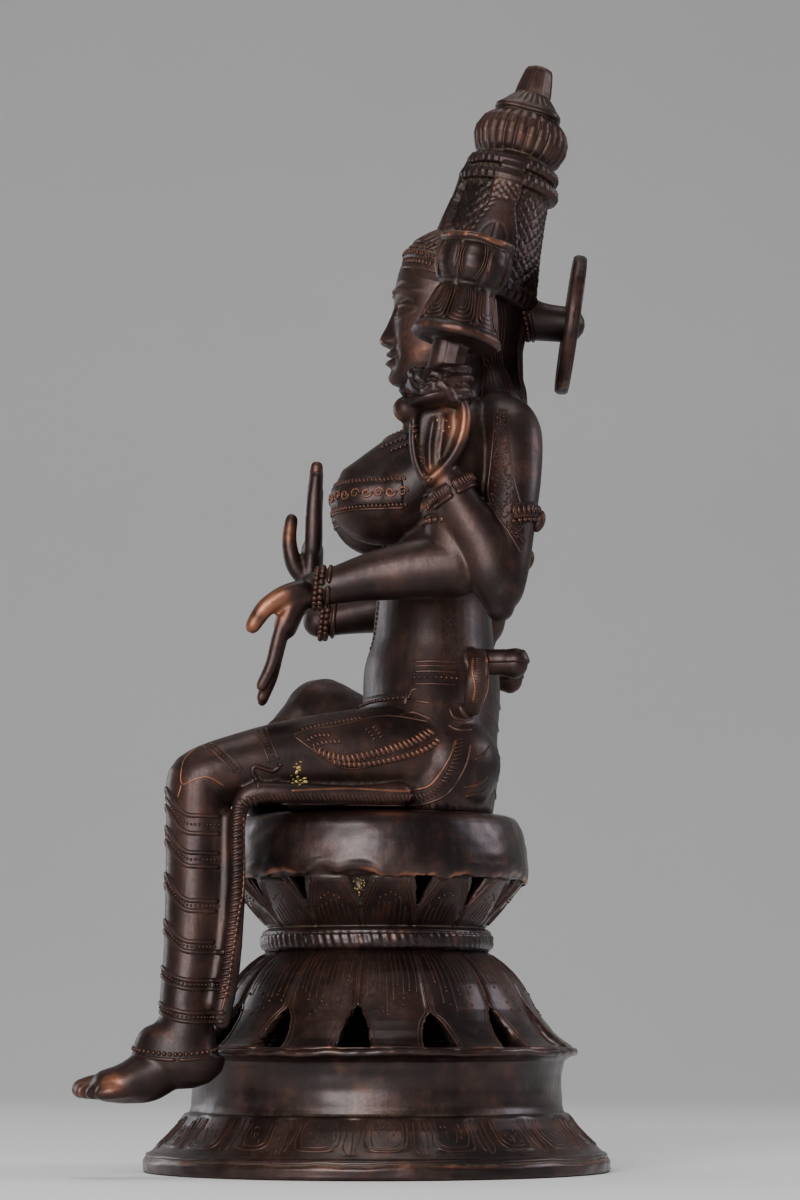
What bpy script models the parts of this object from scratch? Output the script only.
# Seated four-armed goddess on a pierced double-lotus pedestal, both cast in dark brass.
# Metres, +Z up. The goddess faces -Y, and her left side, with the hanging leg, is at +X.
# The origin is the middle of the whole work's footprint, on the ground.

import math

import bmesh
import bpy
from mathutils import Matrix, Vector

# Pedestal, from the ground up
BASE_RADIUS = 0.0825
BASE_BAND_HEIGHT = 0.0052
FLARE_HEIGHT = 0.0150
DRUM_RADIUS = 0.0655
DRUM_HEIGHT = 0.0195
LIP_RADIUS = 0.0705
LIP_THICKNESS = 0.0030
LOWER_LOTUS_HEIGHT = 0.0338
NECK_RADIUS = 0.0380
NECK_RING_RADIUS = 0.0410
NECK_RING_HEIGHT = 0.0080
UPPER_LOTUS_HEIGHT = 0.0175
SEAT_RADIUS = 0.0535
SEAT_HEIGHT = 0.0220
WALL = 0.0035
PETAL_COUNT = 14
PETAL_TURN = math.radians(6)
PETAL_RELIEF = 0.0012
BASE_PETAL_COUNT = 16
BASE_PETAL_RELIEF = 0.0005
LOWER_HOLE_WIDTH = 0.0112
LOWER_HOLE_HEIGHT = 0.0145
UPPER_HOLE_WIDTH = 0.0092
UPPER_HOLE_HEIGHT = 0.0110

# Figure
FIGURE_RISE = 0.2760
SEAT_CLEARANCE = 0.0003
LEG_CLEARANCE = 0.0016
FIGURE_TRIANGLES = 4600
VOXEL = 0.0011

SEAT_TOP = (
    BASE_BAND_HEIGHT
    + FLARE_HEIGHT
    + DRUM_HEIGHT
    + LIP_THICKNESS
    + LOWER_LOTUS_HEIGHT
    + NECK_RING_HEIGHT
    + UPPER_LOTUS_HEIGHT
    + SEAT_HEIGHT
)
# The figure is drawn in units of its own height, 276 of them from the seat to the crown's tip.
UNIT = FIGURE_RISE / 276
COLUMNS_PER_PETAL = 4

BRASS_COLOUR = (0.060, 0.036, 0.028, 1.0)
PEDESTAL_COLOUR = (0.066, 0.038, 0.029, 1.0)


def clear_scene():
    for old in list(bpy.data.objects):
        bpy.data.objects.remove(old, do_unlink=True)


def brass(name, colour):
    material = bpy.data.materials.new(name)
    material.use_nodes = True
    shader = material.node_tree.nodes["Principled BSDF"]
    shader.inputs["Base Color"].default_value = colour
    shader.inputs["Metallic"].default_value = 0.8
    shader.inputs["Roughness"].default_value = 0.38
    return material


def new_object(name, mesh, material=None):
    obj = bpy.data.objects.new(name, mesh)
    bpy.context.scene.collection.objects.link(obj)
    if material:
        mesh.materials.append(material)
    return obj


def mesh_from(shell, name):
    bmesh.ops.triangulate(shell, faces=shell.faces)
    mesh = bpy.data.meshes.new(name)
    shell.to_mesh(mesh)
    shell.free()
    return mesh


# Shapes the figure is put together from


def between(stations, steps):
    """The stations with smooth ones added between them, by Catmull-Rom on every number."""
    rows = [tuple(map(float, row)) for row in stations]
    found = []
    for i in range(len(rows) - 1):
        a, b, c, d = (rows[max(0, min(len(rows) - 1, i + k))] for k in (-1, 0, 1, 2))
        for step in range(steps):
            t = step / steps
            row = []
            for p, q, r, s in zip(a, b, c, d):
                square = 2 * p - 5 * q + 4 * r - s
                cube = 3 * q - p - 3 * r + s
                row.append(0.5 * (2 * q + (r - p) * t + square * t**2 + cube * t**3))
            found.append(tuple(row))
    return found + [rows[-1]]


def add_rings(shell, rings):
    """A closed skin over rings of equal size, made by extruding the first ring on and on."""
    sides = len(rings[0])
    made = bmesh.ops.create_circle(shell, segments=sides, radius=1, cap_ends=False)
    first = made["verts"]
    for vert, place in zip(first, rings[0]):
        vert.co = place
    edges = list({edge for vert in first for edge in vert.link_edges})
    loop = list(first)
    for ring in rings[1:]:
        grown = bmesh.ops.extrude_edge_only(shell, edges=edges)
        edges = [g for g in grown["geom"] if isinstance(g, bmesh.types.BMEdge)]
        fresh = {g for g in grown["geom"] if isinstance(g, bmesh.types.BMVert)}
        following = []
        for vert in loop:
            partner = next(e.other_vert(vert) for e in vert.link_edges if e.other_vert(vert) in fresh)
            following.append(partner)
        for vert, place in zip(following, ring):
            vert.co = place
        edges = [e for e in edges if e.verts[0] in fresh and e.verts[1] in fresh]
        loop = following
    shell.faces.new(list(reversed(first)))
    shell.faces.new(loop)


def add_limb(shell, stations, side=(1, 0, 0), sides=14, steps=3, round_ends=True):
    """A limb through stations of x, y, z, half width along side, and half depth across it."""
    rows = between(stations, steps)
    centres = [Vector(row[:3]) for row in rows]
    rings = []
    for i, row in enumerate(rows):
        along = centres[min(i + 1, len(rows) - 1)] - centres[max(i - 1, 0)]
        along.normalize()
        wide = Vector(side) - along * along.dot(Vector(side))
        wide.normalize()
        deep = along.cross(wide)
        rings.append((centres[i], wide, deep, row[3], row[4], along))
    if round_ends:
        rings = rounded(rings[0], -1)[::-1] + rings + rounded(rings[-1], 1)
    turn = [math.tau * k / sides for k in range(sides)]
    add_rings(
        shell,
        [[c + w * (a * math.cos(t)) + d * (b * math.sin(t)) for t in turn] for c, w, d, a, b, _ in rings],
    )


def rounded(ring, way):
    """Three shrinking rings that round off a limb's end."""
    centre, wide, deep, a, b, along = ring
    reach = min(a, b)
    return [
        (
            centre + along * (way * reach * math.sin(angle)),
            wide,
            deep,
            a * math.cos(angle),
            b * math.cos(angle),
            along,
        )
        for angle in (0.5, 1.0, 1.42)
    ]


def add_ball(shell, centre, radii, turn_x=0.0, sides=16):
    place = (
        Matrix.Translation(Vector(centre))
        @ Matrix.Rotation(turn_x, 4, "X")
        @ Matrix.Diagonal((*radii, 1.0))
    )
    bmesh.ops.create_uvsphere(shell, u_segments=sides, v_segments=sides // 2 + 2, radius=1, matrix=place)


def add_turned(shell, profile, place, sides=24, lobes=0, lobe_depth=0.0, lobe_range=(0.0, 0.0)):
    """A turned solid. The profile gives radius and height from the bottom up, lobes flute a range of it."""
    rings = []
    for radius, height in profile:
        ring = []
        for k in range(sides):
            angle = math.tau * k / sides
            reach = radius
            if lobes and lobe_range[0] <= height <= lobe_range[1]:
                reach += lobe_depth * (abs(math.cos(0.5 * lobes * angle)) - 0.6)
            ring.append(place @ Vector((reach * math.cos(angle), reach * math.sin(angle), height)))
        rings.append(ring)
    add_rings(shell, rings)


def leaning(centre, lean):
    """A place whose own +Z leans back from upright by lean degrees."""
    return Matrix.Translation(Vector(centre)) @ Matrix.Rotation(-math.radians(lean), 4, "X")


def add_band(shell, centre, radii, thickness, height, lean=0.0, slope=0.0, sides=24):
    """An oval band around a limb or the body, lying level unless it leans or slopes."""
    place = (
        Matrix.Translation(Vector(centre))
        @ Matrix.Rotation(-math.radians(lean), 4, "X")
        @ Matrix.Rotation(math.radians(slope), 4, "Y")
    )
    a, b = radii
    edge = 0.35 * thickness
    half, flat = height / 2, height / 4
    rows = ((0, -half), (thickness - edge, -half), (thickness, -flat))
    rows += ((thickness, flat), (thickness - edge, half), (0, half))
    rings = [
        [
            place @ Vector(((a + grow) * math.cos(t), (b + grow) * math.sin(t), rise))
            for t in (math.tau * k / sides for k in range(sides))
        ]
        for grow, rise in rows
    ]
    add_rings(shell, rings)


# The figure's own forms, all in its units, with z from the seat's top


def add_torso(shell):
    add_limb(
        shell,
        (
            (0, 20, -6, 38, 20),
            (0, 19.5, 12, 42, 23.5),
            (0, 19, 28, 40, 24),
            (0, 19.5, 42, 35, 24.5),
            (0, 19.5, 52, 31, 24.2),
            (0, 20, 62, 28, 22),
            (0, 20.5, 78, 26.5, 20.5),
            (0, 23.5, 92, 29, 20.5),
            (0, 27, 108, 32.5, 21.5),
            (0, 30, 122, 35, 20.5),
            (0, 32.5, 134, 34, 17),
            (0, 34.5, 142, 25, 13),
            (0, 34, 149, 13, 11.5),
            (0, 31, 160, 10.2, 10.5),
            (0, 30, 168, 10, 10.5),
        ),
        sides=24,
        round_ends=False,
    )
    for way in (-1, 1):
        add_ball(shell, (way * 23, 24, 17), (20, 19.5, 18))
        add_ball(shell, (way * 15.5, 1.5, 111.5), (16.5, 18, 15.5))
        chest = ((way * 12, 18, 135, 12, 6.5), (way * 14, 9, 126, 14, 10.5), (way * 15.5, 1.5, 114, 16, 16.5))
        add_limb(shell, chest)
        add_limb(shell, ((way * 24, 22, 122, 12, 13), (way * 22, 8, 112, 12, 13)))


def add_head(shell):
    add_limb(
        shell,
        (
            (0, 12.5, 155.4, 4, 5),
            (0, 15.5, 158, 9, 11),
            (0, 18.5, 163, 12.8, 14.6),
            (0, 22, 170, 15.2, 17.3),
            (0, 26, 178, 16.8, 20.2),
            (0, 29, 187, 17.4, 21.8),
            (0, 31, 196, 17.6, 22.5),
            (0, 33, 205, 16.5, 20),
            (0, 34.5, 211, 11, 13),
        ),
        sides=20,
    )
    add_limb(shell, ((0, 8.0, 184.5, 1.9, 2.2), (0, 4.6, 178, 2.2, 2.6), (0, 1.8, 172.6, 3.6, 3.0)), sides=8)
    add_ball(shell, (0, 5.2, 165.6), (5.6, 3.2, 2.9), sides=10)
    add_ball(shell, (0, 6.6, 158.6), (5.4, 4.2, 3.6), sides=10)
    for way in (-1, 1):
        add_ball(shell, (way * 7.6, 8.3, 180.5), (4.6, 3.0, 2.4), sides=10)
        add_ball(shell, (way * 17.6, 30, 178), (2.6, 4.2, 8.0), sides=10)
        add_ball(shell, (way * 19.5, 28, 167), (4.2, 4.2, 4.6), sides=10)


def add_hair(shell):
    add_limb(
        shell,
        (
            (0, 40, 196, 16, 17),
            (0, 40, 184, 17, 15.5),
            (0, 38.5, 172, 16.5, 14.5),
            (0, 38, 161, 17, 13.5),
            (0, 41.5, 149, 24, 13),
            (0, 45.5, 136, 27, 8.5),
            (0, 46, 122, 21, 5.5),
        ),
        sides=20,
    )
    add_ball(shell, (0, 29.5, 198.5), (20.4, 21.6, 15.5), turn_x=0.2, sides=20)
    for way in (-1, 1):
        add_limb(
            shell,
            ((way * 17, 34, 168, 4.5, 5), (way * 20, 33, 156, 5, 5), (way * 29, 31, 147, 5, 4.5)),
            sides=10,
        )


CROWN_LEAN = 15.0
CROWN_PLACE = leaning((0, 37.5, 192), CROWN_LEAN)


def add_crown(shell):
    body = ((2, -6), (19.8, -4), (20.6, 1), (19.6, 8), (18.2, 16))
    body += ((16.9, 26), (15.8, 36), (15.6, 39), (2, 39.4))
    add_turned(shell, body, CROWN_PLACE, sides=28)
    add_turned(shell, ((2, -5.5), (21.2, -4), (22.0, -1.5), (21.2, 1), (2, 1.5)), CROWN_PLACE, sides=28)
    add_turned(shell, ((2, 37), (17.2, 37.4), (18.2, 39.6), (17.2, 42), (2, 42.4)), CROWN_PLACE, sides=28)
    add_turned(shell, ((2, 43), (15.4, 43.4), (16.4, 45.6), (15.4, 48), (2, 48.4)), CROWN_PLACE, sides=28)
    gourd = ((2, 47), (12.8, 49), (15.8, 52), (17.2, 57), (16.6, 61), (14.2, 64.5), (11.6, 66.4), (2, 67))
    add_turned(shell, gourd, CROWN_PLACE, sides=48, lobes=16, lobe_depth=1.5, lobe_range=(51, 65))
    collar = ((2, 66), (12.6, 66.3), (13.2, 67.6), (10.2, 70.8), (7.4, 73.6), (6.9, 75), (6.7, 80))
    collar += ((4.9, 85), (1.2, 86.6))
    add_turned(shell, collar, CROWN_PLACE, sides=20)
    for turn in (0, 90, 180, 270):
        leaf = CROWN_PLACE @ Matrix.Rotation(math.radians(turn), 4, "Z")
        rises = ((19.2, 2), (19.6, 12), (18.8, 22), (17.2, 33), (16.6, 46))
        path = [leaf @ Vector((reach, 0, rise)) for reach, rise in rises]
        wide = leaf.to_3x3() @ Vector((0, 1, 0))
        stations = [(*p, w, 1.9) for p, w in zip(path, (5, 8.2, 7.2, 4.2, 3.4))]
        add_limb(shell, stations, side=wide, sides=10)


def add_halo(shell):
    """The wheel behind the head, on its stub."""
    place = Matrix.Translation(Vector((0, 70.2, 179))) @ Matrix.Rotation(math.radians(-98.3), 4, "X")
    wheel = ((2, -1.6), (21, -1.6), (22, -2.5), (24.6, -2.5), (25.4, -1.5))
    wheel += ((25.4, 1.5), (24.6, 2.5), (22, 2.5))
    wheel += ((21, 1.6), (8, 1.6), (6, 3.0), (1, 3.4))
    add_turned(shell, wheel, place, sides=36)
    add_limb(shell, ((0, 48, 183, 10, 10), (0, 58, 180.5, 7.6, 7.2), (0, 69, 179.2, 7.0, 6.4)), sides=12)


def add_fingers(shell, rows, side, radius, depth=None, sides=8):
    for row in rows:
        stations = [(*p, radius * k, (depth or radius) * k) for p, k in zip(row, (1.0, 1.0, 0.95, 0.8))]
        add_limb(shell, stations, side=side, sides=sides, steps=2)


def add_front_arm(shell, way):
    add_limb(
        shell,
        (
            (way * 31, 32, 135, 11, 11.5),
            (way * 39, 30, 126, 10.5, 10.8),
            (way * 44, 27, 112, 9.6, 9.6),
            (way * 46.5, 26, 98, 9.3, 9.3),
            (way * 47.5, 28, 86, 9.6, 9.8),
        ),
        sides=14,
    )
    add_limb(
        shell,
        (
            (way * 47.5, 28, 84, 9.8, 11),
            (way * 47.5, 15, 83, 9.2, 10.6),
            (way * 46.5, -1, 80.5, 7.8, 8.6),
            (way * 45, -14, 77.6, 6.2, 6.6),
            (way * 44.5, -22, 76, 6.0, 6.0),
        ),
        sides=14,
    )
    add_band(shell, (way * 45, 26.4, 104), (9.4, 9.4), 1.5, 6.5)
    place_y, place_z = -19.5, 76.6
    add_band(shell, (way * 44.6, place_y, place_z), (6.0, 6.3), 1.7, 5.4, lean=-96)


def add_giving_hand(shell):
    """Her lower left hand, palm forward and fingers down."""
    add_limb(shell, ((44.5, -22, 76, 6.4, 5), (44.5, -28, 72, 8.4, 4.6), (44.5, -32, 63, 9.4, 3.9)), sides=12)
    rows = [
        (
            (x, -32.5, 64),
            (x, -34.2, 56.5),
            (x, -36.2, 56.5 - 0.5 * length),
            (x, -39.2, 56.5 - length),
        )
        for x, length in ((37.2, 15), (41.9, 18.8), (46.6, 18.2), (51.1, 14.5))
    ]
    add_fingers(shell, rows, (1, 0, 0), 2.55)
    thumb = ((50.5, -27, 75), (51.8, -33, 72.5), (52, -38.5, 68), (51.5, -42.6, 62.4))
    add_fingers(shell, (thumb,), (1, 0, 0), 3.5)


def add_blessing_hand(shell):
    """Her lower right hand, palm forward and fingers up."""
    palm = ((-44.5, -20, 77, 6.2, 6), (-44.5, -25, 87, 8.2, 5), (-44.5, -24.5, 103, 9.4, 4.2))
    add_limb(shell, palm, sides=12)
    rows = [
        (
            (x, -24.2, 102),
            (x, -24, 109),
            (x, -23.8, 109 + 0.5 * length),
            (x, -22.9, 109 + length),
        )
        for x, length in ((-37.3, 20.4), (-42, 25.2), (-46.7, 23.4), (-51.2, 17.6))
    ]
    add_fingers(shell, rows, (1, 0, 0), 2.65, depth=3.3)
    thumb = ((-40, -26, 90), (-38.6, -31, 96), (-38, -33, 105), (-38.5, -32.2, 113.4))
    add_fingers(shell, (thumb,), (1, 0, 0), 3.2)


def add_rear_arm(shell, way):
    """A raised rear arm. The right elbow is tucked in a little further than the left."""
    tuck = 3.5 if way < 0 else 0.0
    add_limb(
        shell,
        (
            (way * 28, 43, 138, 11, 11.5),
            (way * 38, 46.5, 131, 11, 11.5),
            (way * 44, 47.4, 116, 9.8, 10),
            (way * 47.5, 46, 100, 9.2, 9.2),
            (way * 50, 43.5 - tuck, 84, 9.2, 9.4),
            (way * 50.5, 43 - tuck, 74, 7.8, 7.6),
            (way * 50.5, 42.6 - tuck, 69, 4.8, 4.6),
        ),
        sides=14,
    )
    add_limb(
        shell,
        (
            (way * 50.5, 42.6 - tuck, 69, 4.8, 5),
            (way * 51, 41 - tuck, 79, 8.6, 9.6),
            (way * 52, 37.5, 90, 8.8, 10),
            (way * 53.6, 30, 102, 7.6, 8),
            (way * 54.8, 24.5, 112, 6.8, 6.8),
        ),
        sides=14,
    )
    add_band(shell, (way * 47.2, 46.2, 101), (9.2, 9.2), 1.7, 6.0, lean=-8)
    add_band(shell, (way * 54.4, 26, 109.4), (7.0, 7.0), 1.8, 5.0, lean=-28)
    palm = ((18.2, 112.5, 2.6), (20.5, 119, 6.0), (21.8, 128, 8.6), (21.6, 137, 8.8), (21, 141, 7.0))
    add_limb(shell, [(way * 55, y, z, 3.5, deep) for y, z, deep in palm])
    rim = ((18, 111.6), (22.6, 115.4), (27.2, 121.6), (30, 129.5))
    rim += ((30.2, 137.2), (26, 141.4), (19, 141.6), (14.6, 138.6))
    add_limb(shell, [(way * 58.6, y, z, 3.6, 2.3) for y, z in rim], sides=8)
    ridge = ((16.4, 112.4), (13.6, 118), (12.6, 126), (13.2, 134))
    add_limb(shell, [(way * 58.2, y, z, 2.4, 1.4) for y, z in ridge], sides=8)
    thumb = ((way * 49.5, 24, 121), (way * 48.6, 18, 126), (way * 51, 13, 130), (way * 55, 11, 131))
    add_fingers(shell, (thumb,), (0, 0, 1), 3.0)


LOTUS_LEAN = 13.0


def add_lotus(shell, way):
    """The flower in a rear hand, with the stem through the fist and the rolled leaf under the stalk."""
    stem = ((way * 56.5, 18, 112, 3, 3), (way * 57, 18.4, 124, 3.2, 3.4), (way * 57.6, 20, 140, 4, 4))
    add_limb(shell, stem, sides=10)
    add_ball(shell, (way * 57.6, 20.5, 143), (11, 12.4, 5.6), turn_x=0.2, sides=16)
    add_ball(shell, (way * 57.6, 11, 137.6), (5.0, 4.6, 4.6), sides=10)
    place = leaning((way * 58, 27.6, 162.2), LOTUS_LEAN)
    flower = ((1.5, -16), (5.6, -15.6), (5.4, -8), (5.8, -2), (9, -0.6), (14.8, -1.4), (15.6, 0), (14.9, 2.6))
    flower += ((12.6, 9), (10.6, 15), (9.6, 17.6), (10.8, 19), (12.6, 22.5))
    flower += ((12.9, 27), (12.2, 31), (11.6, 33.4))
    flower += ((11.9, 34.6), (10.6, 35.4), (6, 36.6), (1, 37.2))
    add_turned(shell, flower, place, sides=32, lobes=8, lobe_depth=1.2, lobe_range=(2, 31))


def shifted(stations, push):
    """The hanging leg's stations pushed out as far as each one's share says."""
    return [(x + push.x * k, y + push.y * k, z, a, b) for (x, y, z, a, b), k in stations]


def add_hanging_leg(shell, push):
    thigh = (
        ((22, 18, 20, 20, 18.5), 0.0),
        ((30, -4, 19.5, 18.5, 16.8), 0.3),
        ((38, -30, 17.2, 16, 14.2), 0.7),
        ((44, -52, 13, 13.4, 11.6), 1.0),
        ((46, -60, 10, 12.4, 11), 1.0),
    )
    add_limb(shell, shifted(thigh, push), sides=18)
    shin = (
        ((46, -60.6, 9, 12.2, 11.4), 1.0),
        ((47, -61, -8, 11.6, 10.8), 1.0),
        ((48.5, -61.4, -28, 11.2, 10.4), 1.0),
        ((50.5, -62.4, -48, 10.2, 9.6), 1.0),
        ((53, -64.6, -66, 9.2, 8.4), 1.0),
        ((53.5, -64, -72, 8.4, 7.6), 1.0),
        ((54, -61.5, -82, 7.6, 8), 1.0),
    )
    add_limb(shell, shifted(shin, push), sides=18)
    foot = (
        ((54, -60, -84.6, 8.0, 7.2), 1.0),
        ((54.4, -68, -85.6, 8.4, 8.2), 1.0),
        ((55, -77, -89.8, 9.4, 9.6), 1.0),
        ((55.8, -86, -92.4, 10.4, 7.8), 1.0),
        ((56.4, -94, -93.4, 10.6, 5.6), 1.0),
    )
    add_limb(shell, shifted(foot, push), sides=16)
    dx, dy = push.x, push.y
    toes = ((-100.2, 3.9), (-100.4, 2.9), (-99.6, 2.7), (-98, 2.6), (-96, 2.4))
    for k, (reach, thick) in enumerate(toes):
        x = 49.4 + 3.6 * k + (0.6 if k else 0) + dx
        toe = ((x, -92 + dy, -93.2), (x, -96 + dy, -93), (x, reach + 3 + dy, -93.4), (x, reach + dy, -94))
        add_fingers(shell, (toe,), (1, 0, 0), thick)
    shin_bands = ((0.5, 12.0, 11.2), (-15, 11.5, 10.8), (-31, 11.2, 10.4), (-47, 10.4, 9.8), (-60, 9.8, 9))
    for level, radius_x, radius_y in shin_bands:
        centre = (47 - 0.06 * level + dx, -61.2 + 0.03 * level + dy, level)
        add_band(shell, centre, (radius_x, radius_y), 1.0, 5.0, lean=9)
    add_band(shell, (53.2 + dx, -64.4 + dy, -68.6), (9.2, 8.5), 1.4, 4.6)
    add_band(shell, (54.6 + dx, -67.4 + dy, -82), (9.2, 15.4), 1.3, 4.2, lean=-11)
    strip = (
        ((46, 8, 5.4, 5.0, 4.4), 0.3),
        ((50, -8, 4.6, 4.6, 3.4), 0.3),
        ((55, -32, 5.2, 3.8, 3.6), 0.8),
        ((56.6, -43, 4.0, 2.8, 3.6), 1.0),
        ((56.6, -46.8, -5, 2.6, 2.7), 1.0),
        ((57.2, -46.9, -30, 2.6, 2.8), 1.0),
        ((58.4, -48.6, -52, 2.3, 3.3), 1.0),
        ((59.3, -50.8, -66, 2.1, 3.4), 1.0),
        ((59.6, -51.6, -73, 1.8, 2.8), 1.0),
    )
    add_limb(shell, shifted(strip, push), sides=8)
    web = (
        ((52, -50, -4, 4, 4.5), 1.0),
        ((53, -51, -28, 3.6, 5), 1.0),
        ((54.5, -53, -50, 3.2, 5.4), 1.0),
        ((56, -55.5, -66, 3, 5.6), 1.0),
    )
    add_limb(shell, shifted(web, push), sides=8)


def add_folded_leg(shell):
    add_limb(
        shell,
        (
            (-22, 18, 21, 20, 18.5),
            (-36, 3, 25, 18, 17.5),
            (-50, -11, 33, 16.6, 16.8),
            (-59, -21, 41, 15, 15.4),
        ),
        side=(0.7, -0.7, 0),
        sides=18,
    )
    add_limb(
        shell,
        (
            (-60, -23, 38, 14.8, 15),
            (-49, -33, 27, 12.4, 13.4),
            (-35, -39, 17, 10.4, 11.4),
            (-19, -41, 9.5, 8.2, 8.4),
            (-6, -41, 7.6, 9.2, 7.2),
            (8, -40, 6.8, 9.4, 5.6),
            (17, -38.6, 5.8, 8.8, 4),
        ),
        side=(0, 1, 0),
        sides=16,
    )
    cloth = ((-52, -20, 14, 9, 14), (-34, -26, 10, 14, 10), (-12, -26, 6, 14, 7))
    add_limb(shell, cloth, side=(0, 1, 0), sides=14)


def add_dress(shell):
    """Bust band, girdle, the folds that lie between the legs, and the knots at the hips."""
    for way in (-1, 1):
        add_band(shell, (way * 15.5, 1.5, 117.5), (15.6, 16.8), 1.2, 7.0, sides=20)
        loop = ((way * 33, 33, 36), (way * 38.4, 34, 42), (way * 38.6, 35, 50), (way * 33, 35, 55))
        add_limb(shell, [(*p, 3.4, 1.9) for p in loop], side=(0, 1, 0), sides=8)
        knot = ((way * 24, 34, 53, 4, 5.4), (way * 25, 44, 53, 3.8, 5.2), (way * 25.6, 49.5, 52.6, 4.6, 5.8))
        add_limb(shell, knot, sides=10)
    add_band(shell, (0, 19.5, 53.4), (30.4, 24), 1.3, 6.6, sides=32)
    add_band(shell, (0, 19.4, 38.6), (36.6, 24.6), 1.3, 5.6, sides=32)
    add_limb(shell, ((2, -4, 30, 13, 9), (2, -18, 12, 15, 9), (1, -30, 4, 15, 5)), sides=14)
    add_limb(shell, ((26, 14, 8, 14, 10), (33, -8, 8, 13, 9), (38, -26, 8, 12, 8)), sides=14)


def add_jewels(shell):
    add_band(shell, (0, 24.5, 136), (21, 19.5), 1.4, 4.5, lean=-32, sides=28)
    add_band(shell, (0, 28.6, 146.6), (13.4, 13.6), 1.6, 4.0, lean=-16, sides=24)
    pendant = ((0, -7, 117, 3, 2.2), (0, -8.5, 107, 4.2, 2.8), (0, -6.5, 98, 3.6, 3.2), (0, -2.5, 91, 1.8, 2))
    add_limb(shell, pendant, sides=8)


def ankle_push():
    """How far the hanging leg moves out so that its ankle clears the lotus lip and its calf the seat."""
    ankle = Vector((54 * UNIT, -61.5 * UNIT))
    calf = Vector((47 * UNIT, -61 * UNIT))
    ankle_reach = LIP_RADIUS + LEG_CLEARANCE + 9.6 * UNIT
    calf_reach = SEAT_RADIUS + LEG_CLEARANCE + 18.0 * UNIT
    out = max(0.0, ankle_reach - ankle.length, calf_reach - calf.length)
    return ankle.normalized() * (out / UNIT)


def pedestal_profile():
    """Outer profile of the pedestal from the ground up to the middle of the seat, as radius and height."""
    z = BASE_BAND_HEIGHT
    rows = [(BASE_RADIUS - 0.0006, 0.0), (BASE_RADIUS, 0.4 * z), (BASE_RADIUS - 0.0014, z)]
    flare_top = z + FLARE_HEIGHT
    low, high = BASE_RADIUS - 0.0022, DRUM_RADIUS + 0.0012
    for share in (0.0, 0.5, 1.0):
        rows.append((high + (low - high) * (1 - share) ** 1.15, z + 0.0004 + (FLARE_HEIGHT - 0.0004) * share))
    rows.append((DRUM_RADIUS - 0.0006, flare_top + 0.5 * DRUM_HEIGHT))
    z = flare_top + DRUM_HEIGHT
    rows.append((DRUM_RADIUS + 0.0006, z))
    rows.append((LIP_RADIUS - 0.0008, z + 0.0008))
    z += LIP_THICKNESS
    rows.append((LIP_RADIUS, z))
    for share in (0.16, 0.38, 0.68, 1.0):
        rows.append((lotus_radius(share, NECK_RADIUS, LIP_RADIUS), z + LOWER_LOTUS_HEIGHT * share))
    z += LOWER_LOTUS_HEIGHT
    rows.append((NECK_RING_RADIUS, z + 0.18 * NECK_RING_HEIGHT))
    rows.append((NECK_RING_RADIUS, z + 0.82 * NECK_RING_HEIGHT))
    z += NECK_RING_HEIGHT
    for share in (0.0, 0.5, 1.0):
        spread = SEAT_RADIUS - 0.002 - NECK_RADIUS
        rows.append((NECK_RADIUS + spread * share**0.8, z + UPPER_LOTUS_HEIGHT * share))
    z += UPPER_LOTUS_HEIGHT
    rows.append((SEAT_RADIUS - 0.0006, z + 0.0008))
    rows.append((SEAT_RADIUS, z + 0.6 * SEAT_HEIGHT))
    rows.append((SEAT_RADIUS - 0.0016, z + 0.92 * SEAT_HEIGHT))
    rows.append((SEAT_RADIUS - 0.0046, z + SEAT_HEIGHT))
    return rows


def lotus_radius(share, top, bottom):
    """Radius of the lower lotus at a share of its height: a dome above, turned out to a lip below."""
    dome = top + 0.62 * (bottom - top) * math.sqrt(max(0.0, 1 - share**1.7))
    lip = 0.38 * (bottom - top) * max(0.0, 1 - share) ** 3.2
    return dome + lip


def inner_profile():
    """The hollow, WALL inside the outer profile, from its open mouth up to under the seat."""
    flare_top = BASE_BAND_HEIGHT + FLARE_HEIGHT
    lip_top = flare_top + DRUM_HEIGHT + LIP_THICKNESS
    neck_low = lip_top + LOWER_LOTUS_HEIGHT
    neck_high = neck_low + NECK_RING_HEIGHT
    seat_low = neck_high + UPPER_LOTUS_HEIGHT
    shares = (0.2, 0.5, 0.8, 1.0)
    rows = [(BASE_RADIUS - WALL - 0.0010, -0.002), (BASE_RADIUS - WALL - 0.0010, 0.4 * BASE_BAND_HEIGHT)]
    rows.append((DRUM_RADIUS - WALL - 0.0010, flare_top))
    rows.append((DRUM_RADIUS - WALL - 0.0010, lip_top - 0.4 * LIP_THICKNESS))
    for share in shares:
        radius = lotus_radius(share, NECK_RADIUS, LIP_RADIUS) - WALL - PETAL_RELIEF
        rows.append((min(radius, DRUM_RADIUS - WALL - 0.0010), lip_top + LOWER_LOTUS_HEIGHT * share))
    rows.append((NECK_RADIUS - WALL - PETAL_RELIEF, neck_high))
    rows.append((SEAT_RADIUS - WALL - 0.0050, seat_low))
    rows.append((SEAT_RADIUS - WALL - 0.0012, seat_low + 0.35 * SEAT_HEIGHT))
    rows.append((SEAT_RADIUS - WALL - 0.0050, seat_low + SEAT_HEIGHT - WALL))
    return rows


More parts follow.
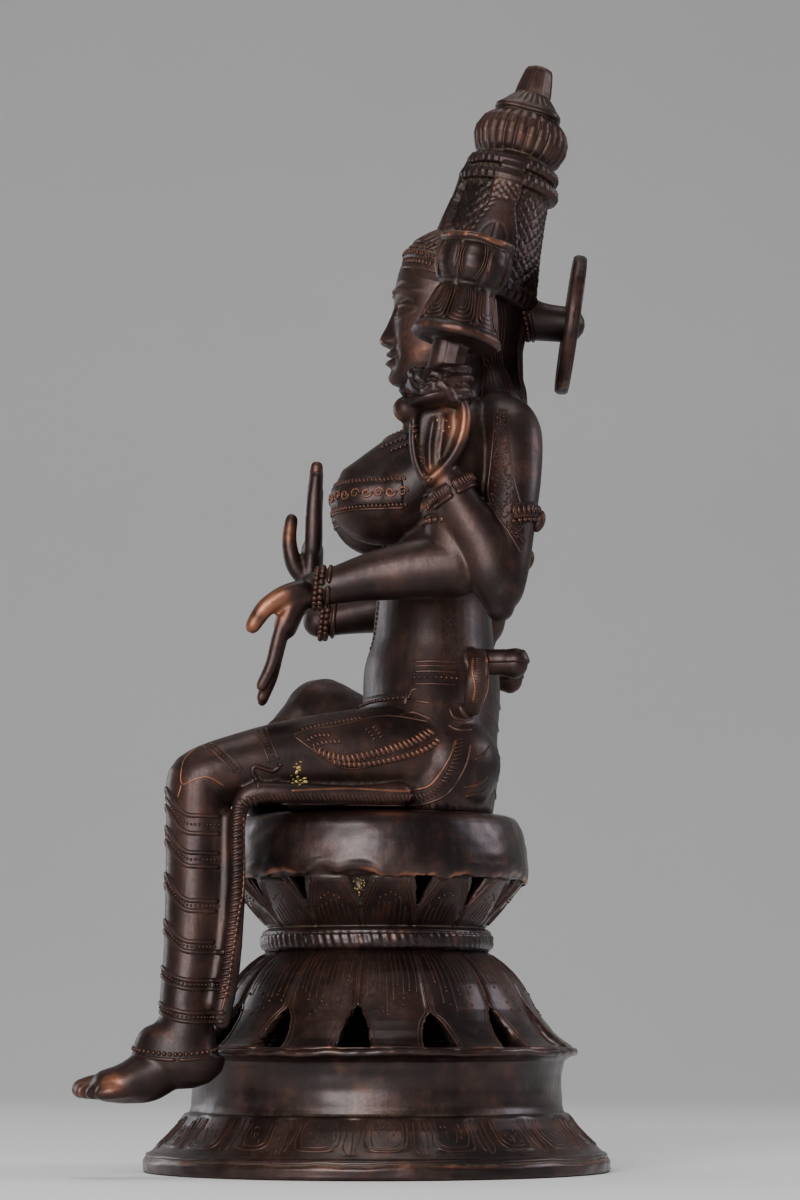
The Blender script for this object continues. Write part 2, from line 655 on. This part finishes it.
def spun(rows, steps, name):
    """A closed solid of revolution about the pedestal's axis, from a profile drawn from the bottom up."""
    shell = bmesh.new()
    ends = (Vector((0, 0, rows[0][1])), Vector((0, 0, rows[-1][1])))
    chain = [ends[0], *(Vector((r, 0, z)) for r, z in rows), ends[1]]
    verts = [shell.verts.new(place) for place in chain]
    edges = [shell.edges.new(pair) for pair in zip(verts, verts[1:])]
    bmesh.ops.spin(
        shell,
        geom=verts + edges,
        cent=(0, 0, 0),
        axis=(0, 0, 1),
        angle=math.tau,
        steps=steps,
        use_merge=True,
    )
    bmesh.ops.remove_doubles(shell, verts=shell.verts, dist=1e-6)
    bmesh.ops.recalc_face_normals(shell, faces=shell.faces)
    return shell


def petal_wave(angle, count):
    """1 along a petal's middle and 0 in the groove between two."""
    return abs(math.cos(0.5 * count * angle))


def shape_petals(shell):
    """Raises the petals of both lotuses and of the base out of the turned form."""
    flare_low = BASE_BAND_HEIGHT
    flare_top = flare_low + FLARE_HEIGHT
    lip_top = flare_top + DRUM_HEIGHT + LIP_THICKNESS
    neck_low = lip_top + LOWER_LOTUS_HEIGHT
    neck_high = neck_low + NECK_RING_HEIGHT
    seat_low = neck_high + UPPER_LOTUS_HEIGHT
    slack = 1e-5
    for vert in shell.verts:
        radius = math.hypot(vert.co.x, vert.co.y)
        if radius < slack:
            continue
        angle = math.atan2(vert.co.y, vert.co.x) - PETAL_TURN
        z = vert.co.z
        push = 0.0
        if flare_low + 0.2 * FLARE_HEIGHT < z < flare_top - 0.1 * FLARE_HEIGHT:
            push = BASE_PETAL_RELIEF * (petal_wave(angle, BASE_PETAL_COUNT) - 0.5)
        elif lip_top - slack < z < neck_low - slack:
            fade = 1 - (z - lip_top) / LOWER_LOTUS_HEIGHT
            push = PETAL_RELIEF * (0.3 + 0.7 * fade) * (petal_wave(angle, PETAL_COUNT) - 0.7)
        elif neck_high + slack < z < seat_low + slack:
            fade = (z - neck_high) / UPPER_LOTUS_HEIGHT
            push = PETAL_RELIEF * (0.3 + 0.7 * fade) * (petal_wave(angle, PETAL_COUNT) - 0.9)
        vert.co.x *= 1 + push / radius
        vert.co.y *= 1 + push / radius


def hole_cutter(outline, radius):
    """Cutters that pierce the wall between every two petals. The outline gives sideways place and height."""
    shell = bmesh.new()
    inner, outer = 0.25, 1.2
    for k in range(PETAL_COUNT):
        turn = Matrix.Rotation(math.tau * (k + 0.5) / PETAL_COUNT + PETAL_TURN, 4, "Z")
        near = [turn @ Vector((radius * inner, side * inner, z)) for side, z in outline]
        far = [turn @ Vector((radius * outer, side * outer, z)) for side, z in outline]
        add_rings(shell, [near, far])
    bmesh.ops.recalc_face_normals(shell, faces=shell.faces)
    return shell


def lower_holes():
    lip_top = BASE_BAND_HEIGHT + FLARE_HEIGHT + DRUM_HEIGHT + LIP_THICKNESS
    low = lip_top + 0.0012
    half = 0.5 * LOWER_HOLE_WIDTH
    arch = [(-half, 0.0), (-0.7 * half, 0.58), (0.0, 1.0), (0.7 * half, 0.58), (half, 0.0)]
    outline = [(side, low + share * LOWER_HOLE_HEIGHT) for side, share in arch]
    return hole_cutter(outline, LIP_RADIUS)


def upper_holes():
    seat_low = SEAT_TOP - SEAT_HEIGHT
    half = 0.5 * UPPER_HOLE_WIDTH
    point = [(-half, 1.0), (0.0, 0.0), (half, 1.0)]
    outline = [(side, seat_low - 0.0004 - (1 - share) * UPPER_HOLE_HEIGHT) for side, share in point]
    return hole_cutter(outline, SEAT_RADIUS)


def hide(obj):
    obj.hide_render = True
    obj.display_type = "WIRE"
    return obj


def subtract(obj, shell, name):
    cutter = hide(new_object(name, mesh_from(shell, name)))
    cut = obj.modifiers.new(name, "BOOLEAN")
    cut.operation = "DIFFERENCE"
    cut.object = cutter
    return cutter


def build_pedestal():
    steps = PETAL_COUNT * COLUMNS_PER_PETAL
    shell = spun(pedestal_profile(), steps, "lotus_pedestal")
    bmesh.ops.rotate(shell, verts=shell.verts, matrix=Matrix.Rotation(math.pi / steps + PETAL_TURN, 3, "Z"))
    shape_petals(shell)
    finish = brass("pedestal_brass", PEDESTAL_COLOUR)
    pedestal = new_object("lotus_pedestal", mesh_from(shell, "lotus_pedestal"), finish)
    hollow = spun(inner_profile(), PETAL_COUNT * 2, "hollow")
    half_column = Matrix.Rotation(math.pi / (2 * PETAL_COUNT) + PETAL_TURN, 3, "Z")
    bmesh.ops.rotate(hollow, verts=hollow.verts, matrix=half_column)
    cutters = [
        subtract(pedestal, hollow, "hollow_cutter"),
        subtract(pedestal, lower_holes(), "lower_hole_cutter"),
        subtract(pedestal, upper_holes(), "upper_hole_cutter"),
    ]
    return pedestal, cutters


def seat_envelope():
    """The pedestal's outside grown by the seat clearance, which the figure's underside is cut to."""
    rows = [(r + SEAT_CLEARANCE + PETAL_RELIEF, z) for r, z in pedestal_profile()]
    rows[0] = (rows[0][0], -0.01)
    radius, _ = rows[-1]
    rows[-2] = (rows[-2][0], SEAT_TOP - 0.0010)
    rows[-1] = (radius, SEAT_TOP + SEAT_CLEARANCE)
    return spun(rows, PETAL_COUNT * COLUMNS_PER_PETAL, "seat_envelope")


def largest_part(mesh):
    """Leaves only the biggest shell of a mesh, so that no sealed pocket stays inside it."""
    shell = bmesh.new()
    shell.from_mesh(mesh)
    left = set(shell.verts)
    groups = []
    while left:
        seed = left.pop()
        group, front = {seed}, [seed]
        while front:
            for edge in front.pop().link_edges:
                for vert in edge.verts:
                    if vert in left:
                        left.discard(vert)
                        group.add(vert)
                        front.append(vert)
        groups.append(group)
    groups.sort(key=len)
    bmesh.ops.delete(shell, geom=[v for g in groups[:-1] for v in g], context="VERTS")
    shell.to_mesh(mesh)
    shell.free()


def baked(obj, name):
    """The object's mesh with its modifiers applied."""
    bpy.context.view_layer.update()
    graph = bpy.context.evaluated_depsgraph_get()
    mesh = bpy.data.meshes.new_from_object(obj.evaluated_get(graph))
    mesh.name = name
    return mesh


def build_figure():
    push = ankle_push()
    shell = bmesh.new()
    add_torso(shell)
    add_head(shell)
    add_hair(shell)
    add_crown(shell)
    add_halo(shell)
    for way in (-1, 1):
        add_front_arm(shell, way)
        add_rear_arm(shell, way)
        add_lotus(shell, way)
    add_giving_hand(shell)
    add_blessing_hand(shell)
    add_hanging_leg(shell, push)
    add_folded_leg(shell)
    add_dress(shell)
    add_jewels(shell)
    bmesh.ops.scale(shell, vec=(UNIT, UNIT, UNIT), verts=shell.verts)
    bmesh.ops.translate(shell, vec=(0, 0, SEAT_TOP), verts=shell.verts)
    bmesh.ops.recalc_face_normals(shell, faces=shell.faces)
    draft = new_object("figure_draft", mesh_from(shell, "figure_draft"))
    remesh = draft.modifiers.new("one_casting", "REMESH")
    remesh.mode = "VOXEL"
    remesh.voxel_size = VOXEL
    mesh = baked(draft, "figure")
    bpy.data.objects.remove(draft, do_unlink=True)
    largest_part(mesh)
    figure = new_object("figure", mesh, brass("figure_brass", BRASS_COLOUR))
    thin = figure.modifiers.new("facets", "DECIMATE")
    thin.ratio = FIGURE_TRIANGLES / (2 * len(mesh.polygons))
    cutter = subtract(figure, seat_envelope(), "seat_cutter")
    return figure, cutter


def centre_on_footprint(objects):
    """Moves everything so that the origin is the middle of the work's footprint."""
    bpy.context.view_layer.update()
    graph = bpy.context.evaluated_depsgraph_get()
    shown = [obj for obj in objects if not obj.hide_render]
    places = [obj.matrix_world @ v.co for obj in shown for v in obj.evaluated_get(graph).to_mesh().vertices]
    middle_x = (min(p.x for p in places) + max(p.x for p in places)) / 2
    middle_y = (min(p.y for p in places) + max(p.y for p in places)) / 2
    for obj in objects:
        obj.location -= Vector((middle_x, middle_y, 0))


def main():
    clear_scene()
    pedestal, cutters = build_pedestal()
    figure, cutter = build_figure()
    centre_on_footprint([pedestal, figure, cutter, *cutters])
    for obj in (pedestal, figure):
        obj.data.shade_smooth()


main()
